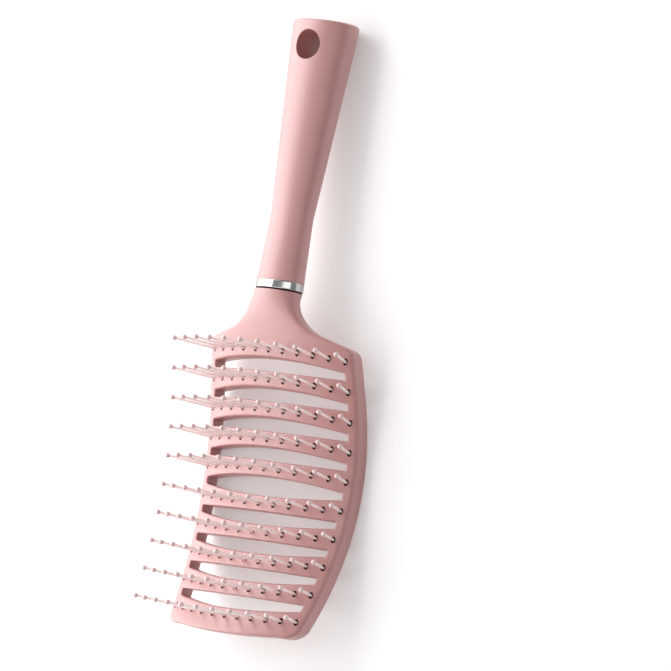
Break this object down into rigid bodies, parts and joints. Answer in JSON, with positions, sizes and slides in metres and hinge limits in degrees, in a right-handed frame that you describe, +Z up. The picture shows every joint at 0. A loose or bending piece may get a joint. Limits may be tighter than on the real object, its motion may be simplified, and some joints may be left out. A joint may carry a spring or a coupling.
{
  "type": "curved vented hair brush",
  "caption": "Vented hair brush with a curved head of bowed ribs and open slots, ball-ended pins, a short neck with a metal ring and a flared oval handle with a hanging hole.",
  "frame": {"origin": "centre of the bounding box at its base, with the brush lying on its back: the rear edges of the head and the lower edge of the handle's end touch the floor", "axes": "+Z up, the way the pins point; +Y along the brush towards the handle's end; +X across the head"},
  "size_m": [0.0886, 0.2438, 0.0477],
  "materials": {
    "body_plastic": "soft satin pink",
    "pin_plastic": "light pink, slightly shiny",
    "ring_metal": "polished silver"
  },
  "bodies": {
    "root": {"head_frame": "body_plastic", "rear_cover": "body_plastic", "pin_strip_01": "pin_plastic", "pin_strip_02": "pin_plastic", "pin_strip_03": "pin_plastic", "pin_strip_04": "pin_plastic", "pin_strip_05": "pin_plastic", "pin_strip_06": "pin_plastic", "pin_strip_07": "pin_plastic", "pin_strip_08": "pin_plastic", "pin_strip_09": "pin_plastic", "pin_strip_10": "pin_plastic", "ferrule_ring": "ring_metal", "handle_grip": "body_plastic"}
  },
  "joints": []
}
